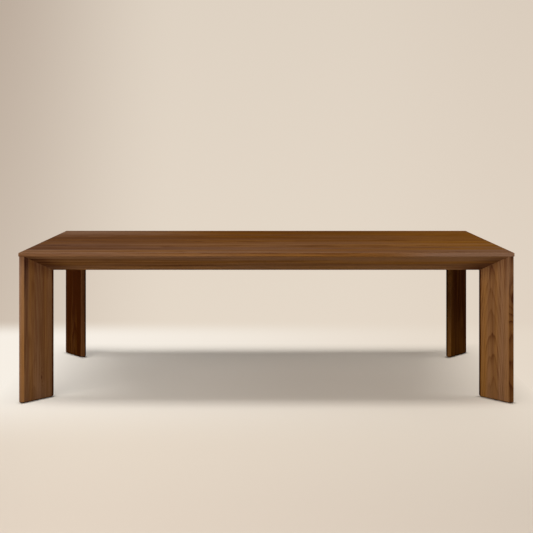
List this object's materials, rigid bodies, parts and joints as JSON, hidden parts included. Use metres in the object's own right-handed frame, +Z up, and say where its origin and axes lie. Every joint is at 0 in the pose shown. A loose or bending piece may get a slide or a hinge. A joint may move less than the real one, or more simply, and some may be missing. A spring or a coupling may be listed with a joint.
{
  "type": "dining table",
  "caption": "Long rectangular dining table with a thin overhanging wood top, sloping mitred aprons, angled plank legs at the corners and screw-out levelling feet.",
  "frame": {"origin": "on the floor, under the middle of the top", "axes": "+X along the table to the right as seen from the front, +Y from front to back, +Z up"},
  "size_m": [2.44, 1.12, 0.742],
  "materials": {
    "walnut": "satin oiled walnut",
    "frame_hardwood": "plain sanded hardwood",
    "zinc_steel": "bright zinc plated",
    "yellow_zinc_steel": "yellow zinc plated",
    "insert_brass": "turned",
    "black_nylon": "moulded"
  },
  "bodies": {
    "root": {"top_board_1": "walnut", "top_board_2": "walnut", "top_board_3": "walnut", "top_board_4": "walnut", "top_board_5": "walnut", "top_board_6": "walnut", "top_board_7": "walnut", "top_board_8": "walnut", "front_apron": "walnut", "front_glue_blocks": "frame_hardwood", "right_apron": "walnut", "right_glue_blocks": "frame_hardwood", "back_apron": "walnut", "back_glue_blocks": "frame_hardwood", "left_apron": "walnut", "left_glue_blocks": "frame_hardwood", "leg_front_left": "walnut", "corner_block_front_left": "frame_hardwood", "leg_front_right": "walnut", "corner_block_front_right": "frame_hardwood", "leg_back_right": "walnut", "corner_block_back_right": "frame_hardwood", "leg_back_left": "walnut", "corner_block_back_left": "frame_hardwood", "cross_rail_left": "frame_hardwood", "cross_rail_middle": "frame_hardwood", "cross_rail_right": "frame_hardwood", "rail_screws": "yellow_zinc_steel", "corner_block_screws": "yellow_zinc_steel", "leg_bolts": "zinc_steel", "leg_washers": "zinc_steel", "leg_inserts": "insert_brass", "foot_inserts": "insert_brass"},
    "pad_front_left": {"foot_pad_front_left": "black_nylon"},
    "stem_front_left": {"foot_stem_front_left": "zinc_steel"},
    "pad_front_right": {"foot_pad_front_right": "black_nylon"},
    "stem_front_right": {"foot_stem_front_right": "zinc_steel"},
    "pad_back_right": {"foot_pad_back_right": "black_nylon"},
    "stem_back_right": {"foot_stem_back_right": "zinc_steel"},
    "pad_back_left": {"foot_pad_back_left": "black_nylon"},
    "stem_back_left": {"foot_stem_back_left": "zinc_steel"}
  },
  "joints": [
    {"name": "foot_travel_front_left", "type": "slide", "parent": "root", "child": "pad_front_left", "axis": [0, 0, -1], "range_m": [0, 0.01]},
    {"name": "stem_turn_front_left", "type": "hinge", "parent": "pad_front_left", "child": "stem_front_left", "pos_m": [-1.147, -0.487, 0.02], "axis": [0, 0, -1], "range_deg": [0, 2880]},
    {"name": "foot_travel_front_right", "type": "slide", "parent": "root", "child": "pad_front_right", "axis": [0, 0, -1], "range_m": [0, 0.01]},
    {"name": "stem_turn_front_right", "type": "hinge", "parent": "pad_front_right", "child": "stem_front_right", "pos_m": [1.147, -0.487, 0.02], "axis": [0, 0, -1], "range_deg": [0, 2880]},
    {"name": "foot_travel_back_right", "type": "slide", "parent": "root", "child": "pad_back_right", "axis": [0, 0, -1], "range_m": [0, 0.01]},
    {"name": "stem_turn_back_right", "type": "hinge", "parent": "pad_back_right", "child": "stem_back_right", "pos_m": [1.147, 0.487, 0.02], "axis": [0, 0, -1], "range_deg": [0, 2880]},
    {"name": "foot_travel_back_left", "type": "slide", "parent": "root", "child": "pad_back_left", "axis": [0, 0, -1], "range_m": [0, 0.01]},
    {"name": "stem_turn_back_left", "type": "hinge", "parent": "pad_back_left", "child": "stem_back_left", "pos_m": [-1.147, 0.487, 0.02], "axis": [0, 0, -1], "range_deg": [0, 2880]}
  ],
  "couplings": [
    {"joint": "stem_turn_front_left", "follows": "foot_travel_front_left", "rad_per_m": 5026.5},
    {"joint": "stem_turn_front_right", "follows": "foot_travel_front_right", "rad_per_m": 5026.5},
    {"joint": "stem_turn_back_right", "follows": "foot_travel_back_right", "rad_per_m": 5026.5},
    {"joint": "stem_turn_back_left", "follows": "foot_travel_back_left", "rad_per_m": 5026.5}
  ]
}
